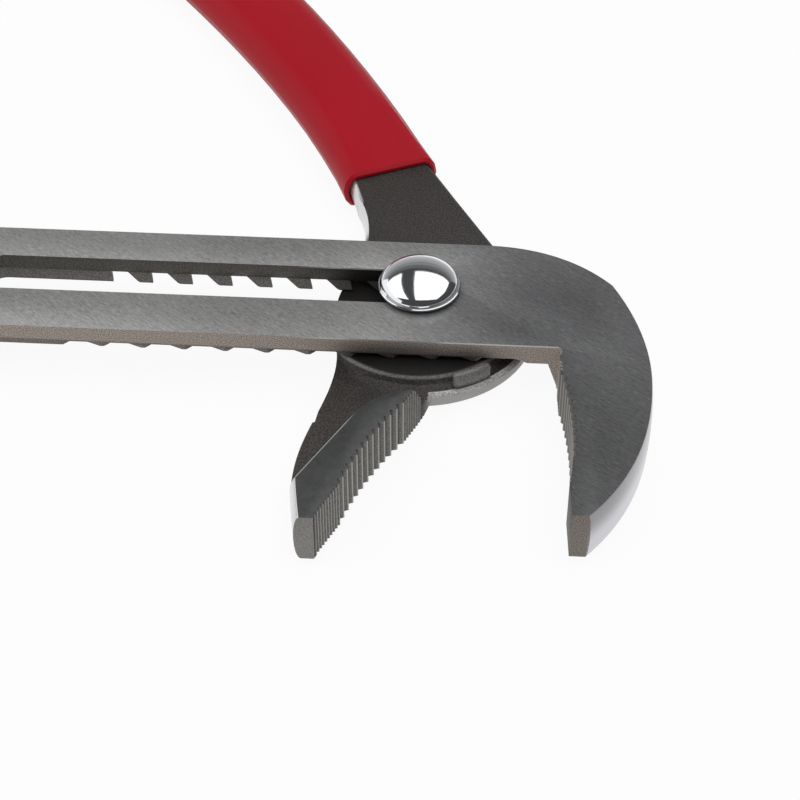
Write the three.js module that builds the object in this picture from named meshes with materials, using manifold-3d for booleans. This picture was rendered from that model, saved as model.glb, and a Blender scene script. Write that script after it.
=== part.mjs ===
// Water pump pliers: two forgings lapped on a bolt that slides along a slot,
// with an undercut tongue on one hub that drops into curved grooves behind the other's arm.
// Millimetres. +Z is the front of the tool, the pivot axis at its first setting is the Z axis,
// +X runs along the slotted arm towards the hook jaw, z = 0 is the surface the tool lies on.
import * as THREE from 'three';
import { mergeVertices } from 'three/addons/utils/BufferGeometryUtils.js';
import Module from 'manifold-3d';

const wasm = await Module();
wasm.setup();

// Clearances
const clearance = 0.3;
const overcut = 1;
const skin = 0.02;

// Stack of the two forgings, from the surface upwards
const nutProud = 1.8;
const jawThickness = 13.4;
const armThickness = 5.7;
const hubFaceBelowArm = 2.9;
const rearZ = nutProud;
const frontZ = rearZ + jawThickness;
const armRearZ = frontZ - armThickness;
const hubFaceZ = armRearZ - hubFaceBelowArm;
const bearingZ = armRearZ - clearance;

// Lower jaw's hub: a round bearing, the tongue outside it and the rim
const grooveRadius = 27;
const tongueWidth = 3;
const bearingInset = 1;
const hubRadius = grooveRadius + tongueWidth;
const bearingRadius = grooveRadius - bearingInset;
const bearingFoot = 2.4;
const bearingRound = 0.8;
const hubEdge = 1.2;
const crown = 1.4;

// Slotted arm and the grooves behind it
const armTop = 17.2;
const armBottom = -20;
const slotWidth = 12.6;
const boltDiameter = 8;
const boltRoom = boltDiameter / 2 + clearance;
const grooveCount = 11;
const groovePitch = 10.1;
const firstStep = 3.2;
const grooveDepth = 1.6;
const lipLand = 0.3;
const edgeGrooveDepth = 1.2;
const grooveRunOut = 6;
const grooveFloor = 3.7;
const grooveRamp = 3.1;
const grooveUndercut = 0.4;
const hubToTang = 7.8;
const lastSeat = -(firstStep + groovePitch * (grooveCount - 1));
const armEnd = lastSeat - hubRadius - hubToTang;
const armMiddle = (armTop + armBottom) / 2;

// Hook jaw: top edge falls from the crest to a shoulder, then to the waist and round to the tip
const hookCrest = 16;
const hookCrestPull = 35.6;
const hookShoulderX = 47.8;
const hookShoulderY = 3.4;
const hookFlankPull = -13.6;
const hookReach = 56.5;
const hookWaist = -30.3;
const hookBellyPull = -57.6;
const hookHeelX = 41.3;
const hookCrown = 0.5;
const hookRootX = 34.6;
const hookTipX = 37.6;
const hookTipY = -75;
const hookWallFront = 32.2;
const hookWallRear = 34.8;
const reliefRadius = 1.7;

// Serrations: right-angled teeth, coarse between two fine zones, on a shallow hollow
const coarsePitch = 2.5;
const finePitch = 1.15;
const hollowRadius = 100;
const hookFineStart = 5;
const hookCoarseStart = 9.8;
const hookCoarseEnd = 37.3;
const hookTeethEnd = 45.1;
const jawFineStart = 1.4;
const jawCoarseStart = 11.8;
const jawCoarseEnd = 41.8;
const jawTeethEnd = 54.5;

// Lower jaw
const tongueProud = edgeGrooveDepth - clearance;
const tongueTop = 1.5;
const tongueBase = 1.9;
const tongueRound = 0.5;
const tongueStart = THREE.MathUtils.degToRad(-68);
const tongueEnd = THREE.MathUtils.degToRad(-52);
const jawTipX = -19.45;
const jawTipY = -79.2;
const jawFaceAngle = THREE.MathUtils.degToRad(64.4);
const faceStock = 12;
const tipStock = 2;
const hubLeave = THREE.MathUtils.degToRad(-83);
const backTopX = -12.6;
const backTopY = 24;
const backBulgeX = -19.2;
const backBulgeY = -2;
const backWaistX = -17.8;
const backWaistY = -18;
const backHeelX = -24.9;
const backHeelY = -60;
const backHeelPull = -66;
const backTipX = -22.1;

// Ground pad of the lower jaw
const padDraft = 4.6;
const padBorderAngle = THREE.MathUtils.degToRad(61.1);
const padCornerX = -14;
const padCornerY = -47.9;
const padKneeX = -10.6;
const padKneeY = -41.6;
const padShoulderX = -7;
const padShoulderY = -39.6;
const padCrestX = -2.6;
const padTopX = 1.2;
const padTopY = -36.9;

// Neck of the lower jaw
const neckEdge = 26.9;
const neckEdgeAngle = THREE.MathUtils.degToRad(29.1);
const neckLength = 41;
const neckCrown = 1.6;
const neckEndX = -16.6;
const neckEndY = 40.75;
const neckWaistX = -13.9;
const neckWaistY = 25;
const neckBulgeX = -18.6;

// Pivot bolt, washer and nut
const headDiameter = 20.5;
const headLip = 0.35;
const headRim = 0.9;
const headDome = 4.7;
const boltChamfer = 0.6;
const washerDiameter = 16;
const washerThickness = 1.2;
const washerRoom = 1.5;
const nutAcrossFlats = 13;
const nutHeight = 4;

// Handles and grips
const tangThickness = 9;
const tangTip = 3;
const tangRound = 4.5;
const tangHalf = 11.2;
const tangSwell = 1;
const tangEndTaper = 2.2;
const neckHalf = 12.85;
const neckTaper = 0.07;
const gripWall = 1.5;
const gripLip = 0.7;
const tangLap = 4;
const upperBend = 98;
const upperReach = 198.5;
const upperDrop = 17.6;
const lowerRootX = -4.85;
const lowerRootY = 41.1;
const lowerBendX = -52.7;
const lowerBendY = 156.6;
const lowerEndX = -158.8;
const lowerEndY = 248.3;

const V2 = (x, y) => new THREE.Vector2(x, y);
const V3 = (x, y, z) => new THREE.Vector3(x, y, z);

// Closed three.js geometry to a solid for joining and cutting
function solid(geometry) {
  const plain = geometry.index ? geometry.toNonIndexed() : geometry.clone();
  for (const name of Object.keys(plain.attributes)) {
    if (name !== 'position') plain.deleteAttribute(name);
  }
  const merged = mergeVertices(plain, 1e-4);
  const index = [];
  const source = merged.index.array;
  for (let i = 0; i < source.length; i += 3) {
    const [a, b, c] = [source[i], source[i + 1], source[i + 2]];
    if (a !== b && b !== c && c !== a) index.push(a, b, c);
  }
  return new wasm.Manifold(new wasm.Mesh({
    numProp: 3,
    vertProperties: new Float32Array(merged.attributes.position.array),
    triVerts: new Uint32Array(index),
  }));
}

function toMesh(manifold, name, material) {
  const { vertProperties, triVerts } = manifold.getMesh();
  const geometry = new THREE.BufferGeometry();
  geometry.setAttribute('position', new THREE.BufferAttribute(new Float32Array(vertProperties), 3));
  geometry.setIndex(new THREE.BufferAttribute(new Uint32Array(triVerts), 1));
  geometry.computeVertexNormals();
  const mesh = new THREE.Mesh(geometry, material);
  mesh.name = name;
  return mesh;
}

// Straight prism of an outline between two heights
function prism(shape, z0, z1, curveSegments = 24) {
  const geometry = new THREE.ExtrudeGeometry(shape, { depth: z1 - z0, bevelEnabled: false, curveSegments });
  return solid(geometry.translate(0, 0, z0));
}

// Prism whose side wall is crowned: the outline holds at both faces and swells between them
function crownedPrism(shape, z0, z1, swell, curveSegments = 20) {
  const half = (z1 - z0) / 2;
  const geometry = new THREE.ExtrudeGeometry(shape, {
    depth: skin,
    bevelThickness: half - skin / 2,
    bevelSize: swell,
    bevelSegments: 4,
    curveSegments,
  });
  return solid(geometry.translate(0, 0, (z0 + z1) / 2 - skin / 2));
}

// Body of revolution about Z from a closed profile of (radius, height) points
function revolve(points, segments) {
  const profile = [...points, points[0]];
  const geometry = new THREE.LatheGeometry(profile, segments);
  const turned = solid(geometry.rotateX(Math.PI / 2));
  return turned.volume() < 0 ? solid(flipped(geometry)) : turned;
}

function flipped(geometry) {
  const copy = geometry.toNonIndexed();
  const p = copy.attributes.position;
  for (let i = 0; i < p.count; i += 3) {
    const b = V3(p.getX(i + 1), p.getY(i + 1), p.getZ(i + 1));
    p.setXYZ(i + 1, p.getX(i + 2), p.getY(i + 2), p.getZ(i + 2));
    p.setXYZ(i + 2, b.x, b.y, b.z);
  }
  return copy;
}

function cylinder(radius, z0, z1, x = 0, y = 0, segments = 48) {
  const geometry = new THREE.CylinderGeometry(radius, radius, z1 - z0, segments);
  return solid(geometry.rotateX(Math.PI / 2).translate(x, y, (z0 + z1) / 2));
}

function box(x0, x1, y0, y1, z0, z1) {
  const geometry = new THREE.BoxGeometry(x1 - x0, y1 - y0, z1 - z0);
  return solid(geometry.translate((x0 + x1) / 2, (y0 + y1) / 2, (z0 + z1) / 2));
}

// Round-ended slot outline along X
function stadium(x0, x1, radius) {
  const shape = new THREE.Shape();
  shape.absarc(x1, 0, radius, -Math.PI / 2, Math.PI / 2, false);
  shape.absarc(x0, 0, radius, Math.PI / 2, 1.5 * Math.PI, false);
  return shape;
}

// Curve on from the shape's last point that starts and ends running along Y
function sway(shape, x, y) {
  const last = shape.currentPoint;
  const pull = (y - last.y) * 0.4;
  shape.bezierCurveTo(last.x, last.y + pull, x, y - pull, x, y);
}

// Depth of the shallow hollow at one station of a jaw face
function hollow(at, from, to) {
  return Math.max(0, (at - from) * (to - at)) / (2 * hollowRadius);
}

// Zigzag along a jaw face: right-angled notches of one pitch between two stations
function notches(line, from, to, pitch) {
  const count = Math.round((to - from) / pitch);
  const step = (to - from) / count;
  const place = (at, depth) => line.start.clone()
    .addScaledVector(line.along, at)
    .addScaledVector(line.into, depth + hollow(at, line.hollowFrom, line.hollowTo));
  const points = [];
  for (let i = 0; i < count; i += 1) {
    points.push(place(from + i * step, 0));
    points.push(place(from + (i + 0.5) * step, step / 2));
  }
  points.push(place(to, 0));
  return points;
}

const smooth = (s, a, b) => THREE.MathUtils.smoothstep(s, a, b);
const blend = (a, b, t) => a + (b - a) * t;

// Cross-section of a handle at one station, grown all round by a wall or a clearance
function ring(handle, s, grow, push = 0) {
  const station = handle.path.getPointAt(s);
  const along = handle.path.getTangentAt(s);
  const side = V2(-along.y, along.x);
  const law = handle.law(s);
  const half = law.half + grow;
  const thick = (law.top - law.bottom) / 2 + grow;
  const middle = (law.top + law.bottom) / 2;
  const round = Math.min(Math.max(law.round + grow, clearance), half - skin);
  const roundUp = Math.min(Math.max(law.roundUp + grow, clearance), thick - skin);
  const corner = 4;
  const points = [];
  for (let q = 0; q < 4; q += 1) {
    for (let i = 0; i < corner; i += 1) {
      const a = (q + i / (corner - 1)) * Math.PI / 2;
      const across = Math.cos(a) * round + (q === 0 || q === 3 ? 1 : -1) * (half - round);
      const up = Math.sin(a) * roundUp + (q < 2 ? 1 : -1) * (thick - roundUp);
      const flat = station.clone().addScaledVector(along, push).addScaledVector(side, across);
      points.push(V3(flat.x, flat.y, middle + up));
    }
  }
  return points;
}

// Skin over a row of rings, closed with a fan at each end
function loft(rings) {
  const n = rings[0].length;
  const points = rings.flat();
  const index = [];
  for (let r = 0; r < rings.length - 1; r += 1) {
    for (let i = 0; i < n; i += 1) {
      const a = r * n + i;
      const b = r * n + (i + 1) % n;
      index.push(a, a + n, b, b, a + n, b + n);
    }
  }
  for (const [first, turn] of [[0, 1], [(rings.length - 1) * n, -1]]) {
    const middle = V3(0, 0, 0);
    for (let i = 0; i < n; i += 1) middle.addScaledVector(points[first + i], 1 / n);
    points.push(middle);
    for (let i = 0; i < n; i += 1) {
      const pair = [first + i, first + (i + 1) % n];
      if (turn < 0) pair.reverse();
      index.push(points.length - 1, ...pair);
    }
  }
  const geometry = new THREE.BufferGeometry().setFromPoints(points);
  geometry.setIndex(index);
  const body = solid(geometry);
  return body.volume() < 0 ? solid(flipped(geometry)) : body;
}

// Rings from one station to the handle's end, which closes in a dome
function handleRings(handle, from, grow, lip = 0) {
  const steps = 22;
  const rings = [];
  if (lip > 0) rings.push(ring(handle, from, grow - lip));
  rings.push(ring(handle, from, grow, lip));
  for (let i = 1; i <= steps; i += 1) {
    if (i / steps > from + 0.3 / steps) rings.push(ring(handle, i / steps, grow));
  }
  const dome = tangTip + grow;
  for (const a of [Math.PI / 6, Math.PI / 3, Math.PI * 0.48]) {
    rings.push(ring(handle, 1, grow - dome * (1 - Math.cos(a)), dome * Math.sin(a)));
  }
  return rings;
}

// Handle of the upper jaw: runs on from the arm, drops to the tool's middle and bows a little
const upperHandle = {
  path: new THREE.QuadraticBezierCurve(
    V2(armEnd + tangLap, armMiddle),
    V2(armEnd - upperBend, armMiddle),
    V2(armEnd - upperReach, armMiddle - upperDrop),
  ),
  law: (s) => ({
    half: blend((armTop - armBottom) / 2 - skin, tangHalf, smooth(s, 0.02, 0.2))
      + tangSwell * smooth(s, 0.2, 0.55) - tangEndTaper * smooth(s, 0.65, 1),
    top: blend(frontZ - skin, rearZ + tangThickness, smooth(s, 0.02, 0.24)),
    bottom: blend(armRearZ + skin, rearZ, smooth(s, 0.02, 0.24)),
    round: blend(clearance, tangRound, smooth(s, 0.02, 0.2)),
    roundUp: blend(clearance, tangRound, smooth(s, 0.02, 0.2)),
  }),
  gripFrom: 0.2,
};

// Handle of the lower jaw: leaves the neck flat, then thickens and bows back towards the other one
const lowerHandle = {
  path: new THREE.QuadraticBezierCurve(
    V2(lowerRootX, lowerRootY),
    V2(lowerBendX, lowerBendY),
    V2(lowerEndX, lowerEndY),
  ),
  law: (s) => ({
    half: tangHalf + (neckHalf - tangHalf) * Math.max(0, 1 - s / neckTaper)
      + tangSwell * smooth(s, 0.15, 0.5) - tangEndTaper * smooth(s, 0.65, 1),
    top: blend(bearingZ - skin, rearZ + tangThickness, smooth(s, 0.02, 0.2)),
    bottom: rearZ + skin,
    round: blend(neckCrown, tangRound, smooth(s, 0.01, 0.2)),
    roundUp: tangRound,
  }),
  gripFrom: 0.0535,
};

function tang(handle) {
  return loft(handleRings(handle, 0, 0));
}

// Dipped sleeve: a skin around the tang, open towards the jaws
function grip(handle) {
  const outer = loft(handleRings(handle, handle.gripFrom, clearance + gripWall, gripLip));
  const room = loft(handleRings(handle, handle.gripFrom - 0.015, clearance));
  return outer.subtract(room);
}

// Upper jaw
function buildUpperJaw() {
  const arm = box(armEnd, hookCrest, armBottom, armTop, armRearZ, frontZ);

  const outline = new THREE.Shape();
  outline.moveTo(hookCrest - overcut, armTop);
  outline.lineTo(hookCrest, armTop);
  outline.quadraticCurveTo(hookCrestPull, armTop, hookShoulderX, hookShoulderY);
  outline.quadraticCurveTo(hookReach, hookFlankPull, hookReach, hookWaist);
  outline.quadraticCurveTo(hookReach, hookBellyPull, hookHeelX, hookTipY);
  const heelSlope = (hookReach - hookHeelX) / (hookBellyPull - hookTipY);
  outline.lineTo(hookHeelX - heelSlope * tipStock, hookTipY - tipStock);
  outline.lineTo(hookCrest - overcut, hookTipY - tipStock);
  const room = box(hookCrest - overcut, hookReach * 2, hookTipY * 2, armTop, rearZ, frontZ);
  const hook = crownedPrism(outline, rearZ, frontZ, hookCrown).intersect(room);

  // Behind the arm the hook stands to full thickness past a drafted wall, clear of the hub
  const behind = new THREE.Shape([
    V2(armEnd, armRearZ),
    V2(hookWallFront, armRearZ),
    V2(hookWallRear, rearZ),
    V2(hookWallRear, rearZ - overcut),
    V2(armEnd, rearZ - overcut),
  ]);
  const width = armTop - armBottom + overcut;
  const wall = new THREE.ExtrudeGeometry(behind, { depth: width, bevelEnabled: false });
  const sweep = solid(wall.rotateX(Math.PI / 2).translate(0, armTop + overcut, 0));

  // Mouth: toothed face, relief in the inner corner and the flat tip
  const root = V2(hookRootX, armBottom);
  const tip = V2(hookTipX, hookTipY);
  const along = tip.clone().sub(root).normalize();
  const line = {
    start: root,
    along,
    into: V2(-along.y, along.x),
    hollowFrom: hookCoarseStart,
    hollowTo: hookTeethEnd,
  };
  const mouth = new THREE.Shape([
    V2(0, armBottom),
    root,
    ...notches(line, hookFineStart, hookCoarseStart, finePitch),
    ...notches(line, hookCoarseStart, hookCoarseEnd, coarsePitch),
    ...notches(line, hookCoarseEnd, hookTeethEnd, finePitch),
    tip,
    V2(hookReach * 2, hookTipY),
    V2(hookReach * 2, hookTipY * 2),
    V2(0, hookTipY * 2),
  ]);

  let jaw = hook.subtract(sweep).add(arm);
  jaw = jaw.subtract(prism(mouth, rearZ - overcut, frontZ + overcut));
  const relief = cylinder(reliefRadius, rearZ - overcut, frontZ + overcut, 0, 0, 24);
  jaw = jaw.subtract(relief.translate([hookRootX - reliefRadius / 2, armBottom - reliefRadius, 0]));

  // Slot: wide at the front, narrowed behind by a sloping lip that guides the bolt
  const lipZ = armRearZ + grooveDepth;
  const lip = new THREE.ExtrudeGeometry(stadium(lastSeat, 0, boltRoom), {
    depth: frontZ + overcut - lipZ,
    bevelThickness: grooveDepth - lipLand,
    bevelSize: slotWidth / 2 - boltRoom,
    bevelSegments: 1,
    curveSegments: 12,
  });
  jaw = jaw.subtract(solid(lip.translate(0, 0, lipZ)));
  jaw = jaw.subtract(prism(stadium(lastSeat, 0, boltRoom), armRearZ - overcut, lipZ));

  // Grooves: rings about every seat of the bolt, undercut on the loaded flank, ramped on the other
  const lean = grooveUndercut / grooveDepth;
  const slope = grooveRamp / grooveDepth;
  const profile = [
    V2(grooveRadius + lean * overcut, armRearZ - overcut),
    V2(grooveRadius + grooveFloor + grooveRamp + slope * overcut, armRearZ - overcut),
    V2(grooveRadius + grooveFloor, armRearZ + grooveDepth),
    V2(grooveRadius - grooveUndercut, armRearZ + grooveDepth),
  ];
  const ringBody = revolve(profile, 64);
  const half = box(grooveRadius / 3, grooveRadius * 2, armBottom * 2, armTop * 2, 0, frontZ);
  const groove = ringBody.intersect(half);
  let grooves = groove.add(groove.translate([-firstStep / 2, 0, 0]));
  for (let i = 0; i < grooveCount; i += 1) {
    grooves = grooves.add(groove.translate([-firstStep - groovePitch * i, 0, 0]));
  }
  const depthLaw = new THREE.Shape([
    V2(armBottom - overcut, 0),
    V2(armTop + overcut, 0),
    V2(armTop + overcut, armRearZ + edgeGrooveDepth),
    V2(armTop, armRearZ + edgeGrooveDepth),
    V2(armTop - grooveRunOut, armRearZ + grooveDepth),
    V2(armBottom + grooveRunOut, armRearZ + grooveDepth),
    V2(armBottom, armRearZ + edgeGrooveDepth),
    V2(armBottom - overcut, armRearZ + edgeGrooveDepth),
  ]);
  const reach = hookReach - armEnd;
  const across = new THREE.ExtrudeGeometry(depthLaw, { depth: reach, bevelEnabled: false });
  across.applyMatrix4(new THREE.Matrix4().makeBasis(V3(0, 1, 0), V3(0, 0, 1), V3(1, 0, 0)));
  grooves = grooves.intersect(solid(across.translate(armEnd, 0, 0)));
  jaw = jaw.subtract(grooves);

  return jaw.add(tang(upperHandle));
}

// Lower jaw
function buildLowerJaw() {
  // Outline at the faces; the crowned wall swells past it
  const face = V2(Math.cos(jawFaceAngle), Math.sin(jawFaceAngle));
  const tip = V2(jawTipX, jawTipY);
  const rim = hubRadius - crown;
  const outline = new THREE.Shape();
  outline.moveTo(jawTipX + faceStock, jawTipY - tipStock);
  outline.lineTo(0, -rim - faceStock);
  outline.absarc(0, 0, rim, hubLeave, Math.PI / 3, false);
  outline.lineTo(backTopX, backTopY);
  sway(outline, backBulgeX, backBulgeY);
  outline.lineTo(backWaistX, backWaistY);
  sway(outline, backHeelX, backHeelY);
  outline.quadraticCurveTo(backHeelX, backHeelPull, backTipX, jawTipY - tipStock);
  outline.closePath();
  const plan = crownedPrism(outline, rearZ, frontZ, crown);

  // Neck between the hub and the tang, thinner and with a crowned wall of its own
  const away = V2(Math.cos(neckEdgeAngle), Math.sin(neckEdgeAngle));
  const foot = away.clone().multiplyScalar(neckEdge);
  const neckEnd = foot.clone().addScaledVector(V2(-away.y, away.x), neckLength);
  const neckShape = new THREE.Shape();
  neckShape.moveTo(foot.x, foot.y);
  neckShape.lineTo(neckEnd.x, neckEnd.y);
  neckShape.lineTo(neckEndX, neckEndY);
  neckShape.quadraticCurveTo(neckWaistX, blend(neckEndY, neckWaistY, 0.4), neckWaistX, neckWaistY);
  sway(neckShape, neckBulgeX, backBulgeY);
  neckShape.lineTo(0, backBulgeY);
  neckShape.closePath();
  const neck = crownedPrism(neckShape, rearZ, bearingZ, neckCrown);

  // Ground pad standing to full thickness, with a drafted shoulder down to the forged face
  const pad = new THREE.Shape();
  const run = hubRadius * 1.3;
  const borderX = padCornerX - run * Math.cos(padBorderAngle);
  const borderY = padCornerY - run * Math.sin(padBorderAngle);
  pad.moveTo(borderX, borderY);
  pad.lineTo(padCornerX, padCornerY);
  pad.quadraticCurveTo(padKneeX, padKneeY, padShoulderX, padShoulderY);
  pad.quadraticCurveTo(padCrestX, padTopY, padTopX, padTopY);
  pad.lineTo(padTopX + faceStock, padTopY);
  pad.lineTo(padTopX + faceStock, borderY);
  const shoulder = new THREE.ExtrudeGeometry(pad, {
    depth: jawThickness,
    bevelThickness: frontZ - hubFaceZ,
    bevelSize: padDraft,
    bevelSegments: 1,
    curveSegments: 6,
  });
  const padBody = solid(shoulder.translate(0, 0, hubFaceZ - jawThickness));

  // Forged face, with the round bearing raised to just under the arm
  const slab = box(-hubRadius * 2, hubRadius * 2, jawTipY * 2, hubRadius * 2, 0, hubFaceZ);
  const side = [];
  const steps = 2;
  for (let i = 0; i <= steps; i += 1) {
    const turn = i / steps * Math.PI / 2;
    const rise = bearingZ - bearingRound - hubFaceZ;
    side.push(V2(bearingRadius + bearingFoot * (1 - Math.sin(turn)), hubFaceZ + rise * (1 - Math.cos(turn))));
  }
  const bearing = revolve([
    V2(boltRoom / 2, rearZ),
    V2(bearingRadius + bearingFoot, rearZ),
    ...side,
    V2(bearingRadius - bearingRound, bearingZ),
    V2(boltRoom / 2, bearingZ),
  ], 64);
  const edge = revolve([
    V2(hubRadius - hubEdge - skin, hubFaceZ + skin),
    V2(hubRadius + overcut, hubFaceZ + skin),
    V2(hubRadius + overcut, hubFaceZ - hubEdge - overcut),
  ], 96);
  const edgeStart = hubRadius * Math.cos(hubLeave);
  const edgeRoom = box(edgeStart, hubRadius * 2, -hubRadius * 2, hubRadius * 2, 0, frontZ);
  let jaw = plan.intersect(slab.add(padBody).add(bearing));
  jaw = jaw.subtract(edge.intersect(edgeRoom)).add(neck);

  // Tongue: a short arc of the groove's negative near the hub's rim
  const lean = grooveUndercut / grooveDepth;
  const inner = grooveRadius + clearance;
  const topZ = armRearZ + tongueProud;
  const top = inner - lean * tongueProud;
  const ringBody = revolve([
    V2(inner + 2 * clearance, hubFaceZ - overcut),
    V2(inner + tongueBase, hubFaceZ - overcut),
    V2(inner + tongueBase, hubFaceZ),
    V2(top + tongueTop, topZ + skin),
    V2(top, topZ + skin),
    V2(inner, armRearZ),
  ], 96);
  const middle = (top + inner + tongueBase) / 2;
  const capRadius = (inner + tongueBase - top) / 2 - tongueRound;
  const sector = new THREE.Shape();
  sector.absarc(0, 0, middle + capRadius, tongueStart, tongueEnd, false);
  sector.absarc(middle * Math.cos(tongueEnd), middle * Math.sin(tongueEnd), capRadius,
    tongueEnd, tongueEnd + Math.PI, false);
  sector.absarc(0, 0, middle - capRadius, tongueEnd, tongueStart, true);
  sector.absarc(middle * Math.cos(tongueStart), middle * Math.sin(tongueStart), capRadius,
    tongueStart + Math.PI, tongueStart + 2 * Math.PI, false);
  const tongueHeight = topZ - hubFaceZ;
  const rounded = new THREE.ExtrudeGeometry(sector, {
    depth: tongueHeight,
    bevelThickness: tongueRound,
    bevelSize: tongueRound,
    bevelSegments: 2,
    curveSegments: 8,
  });
  jaw = jaw.add(ringBody.intersect(solid(rounded.translate(0, 0, hubFaceZ - tongueRound))));

  // Toothed face and flat tip
  const line = {
    start: tip,
    along: face,
    into: V2(-face.y, face.x),
    hollowFrom: jawCoarseStart,
    hollowTo: jawCoarseEnd,
  };
  const faceEnd = tip.clone().addScaledVector(face, jawTeethEnd);
  const mouth = new THREE.Shape([
    V2(jawTipX * 2, jawTipY),
    tip,
    ...notches(line, jawFineStart, jawCoarseStart, finePitch),
    ...notches(line, jawCoarseStart, jawCoarseEnd, coarsePitch),
    ...notches(line, jawCoarseEnd, jawTeethEnd, finePitch),
    V2(faceEnd.x + hubRadius / 2, faceEnd.y),
    V2(hubRadius, jawTipY * 2),
    V2(jawTipX * 2, jawTipY * 2),
  ]);
  const hubKeep = cylinder(hubRadius + skin, 0, frontZ + 2 * overcut, 0, 0, 96);
  jaw = jaw.subtract(prism(mouth, rearZ - overcut, frontZ + overcut).subtract(hubKeep));

  // Bolt hole, and a seat behind for the washer and nut
  const seatZ = nutHeight + clearance + washerThickness + clearance;
  jaw = jaw.subtract(cylinder(boltRoom, 0, frontZ, 0, 0, 40));
  jaw = jaw.subtract(cylinder(washerDiameter / 2 + washerRoom, rearZ - overcut, seatZ, 0, 0, 48));

  return jaw.add(tang(lowerHandle));
}

// Pivot bolt: low dome over a thin rim, underside chamfered clear of the arm
function buildBolt() {
  const radius = headDiameter / 2;
  const seat = frontZ + clearance;
  const dome = [];
  const steps = 9;
  for (let i = 0; i <= steps; i += 1) {
    const turn = i / steps * Math.PI / 2;
    dome.push(V2((radius - headLip) * Math.cos(turn), seat + headRim + headDome * Math.sin(turn)));
  }
  dome[steps].x = 0;
  const profile = [
    V2(0, 0),
    V2(boltDiameter / 2 - boltChamfer, 0),
    V2(boltDiameter / 2, boltChamfer),
    V2(boltDiameter / 2, seat),
    V2(radius - headRim / 2, seat),
    V2(radius, seat + headRim * 0.4),
    V2(radius, seat + headRim * 0.8),
    ...dome,
  ];
  const geometry = new THREE.LatheGeometry(profile, 48).rotateX(Math.PI / 2);
  const body = solid(geometry);
  return body.volume() < 0 ? solid(flipped(geometry)) : body;
}

function buildWasher() {
  const z0 = nutHeight + clearance;
  return cylinder(washerDiameter / 2, z0, z0 + washerThickness, 0, 0, 40)
    .subtract(cylinder(boltRoom, z0 - overcut, z0 + washerThickness + overcut, 0, 0, 40));
}

function buildNut() {
  const corner = nutAcrossFlats / Math.sqrt(3);
  const hexagon = new THREE.CylinderGeometry(corner, corner, nutHeight, 6);
  const body = solid(hexagon.rotateX(Math.PI / 2).translate(0, 0, nutHeight / 2));
  return body.subtract(cylinder(boltRoom, -overcut, nutHeight + overcut, 0, 0, 40));
}

const steel = new THREE.MeshStandardMaterial({ color: 0x6e6d6a, roughness: 0.42, metalness: 0.85 });
const forged = new THREE.MeshStandardMaterial({ color: 0x454341, roughness: 0.55, metalness: 0.75 });
const chrome = new THREE.MeshStandardMaterial({ color: 0xd9dcdf, roughness: 0.08, metalness: 1 });
const zinc = new THREE.MeshStandardMaterial({ color: 0xa9abad, roughness: 0.35, metalness: 0.9 });
const vinyl = new THREE.MeshStandardMaterial({ color: 0xc4182c, roughness: 0.3, metalness: 0 });

const pliers = new THREE.Group();
pliers.add(toMesh(buildUpperJaw(), 'upper_jaw', steel));
pliers.add(toMesh(grip(upperHandle), 'upper_grip', vinyl));
pliers.add(toMesh(buildLowerJaw(), 'lower_jaw', forged));
pliers.add(toMesh(grip(lowerHandle), 'lower_grip', vinyl));
pliers.add(toMesh(buildBolt(), 'pivot_bolt', chrome));
pliers.add(toMesh(buildWasher(), 'pivot_washer', zinc));
pliers.add(toMesh(buildNut(), 'pivot_nut', zinc));

export default pliers;
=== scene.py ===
import math

import bpy
from mathutils import Euler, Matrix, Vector

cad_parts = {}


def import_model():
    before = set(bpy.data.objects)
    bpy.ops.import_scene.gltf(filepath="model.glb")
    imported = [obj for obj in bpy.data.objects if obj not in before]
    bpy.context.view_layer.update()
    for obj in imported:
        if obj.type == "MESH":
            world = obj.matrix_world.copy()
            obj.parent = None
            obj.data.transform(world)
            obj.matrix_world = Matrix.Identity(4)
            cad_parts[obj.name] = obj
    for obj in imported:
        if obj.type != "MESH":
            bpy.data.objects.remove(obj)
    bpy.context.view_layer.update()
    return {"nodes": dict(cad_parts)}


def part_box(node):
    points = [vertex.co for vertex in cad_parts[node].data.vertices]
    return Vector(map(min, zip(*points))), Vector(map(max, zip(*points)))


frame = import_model()
MM = 0.001

# Heights and places taken from the CAD, in millimetres
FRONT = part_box("upper_jaw")[1][2] / MM
SLOT_HALF = 6.3
SLOT_END = -110.5
HUB_FACE = 6.6
COLLAR_TOP = FRONT + 1.15
PAD_CORNER = (-14.0, -47.9)
PAD_BORDER_ANGLE = math.radians(61.1)

# Toothed faces: first point, direction, and (first crest, pitch) of the fine and the coarse teeth
JAW_TIP = (-19.45, -79.2)
JAW_ANGLE = math.radians(64.4)
JAW_FINE = (1.4, 1.1555)
JAW_COARSE = (11.8, 2.5)
JAW_COARSE_END = 41.8
HOOK_ROOT = (34.6, -20.0)
HOOK_ANGLE = math.atan2(-55.0, 3.0)
HOOK_FINE = (37.3, 1.1143)
HOOK_COARSE = (9.8, 2.5)
HOOK_COARSE_END = 37.3

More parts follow.
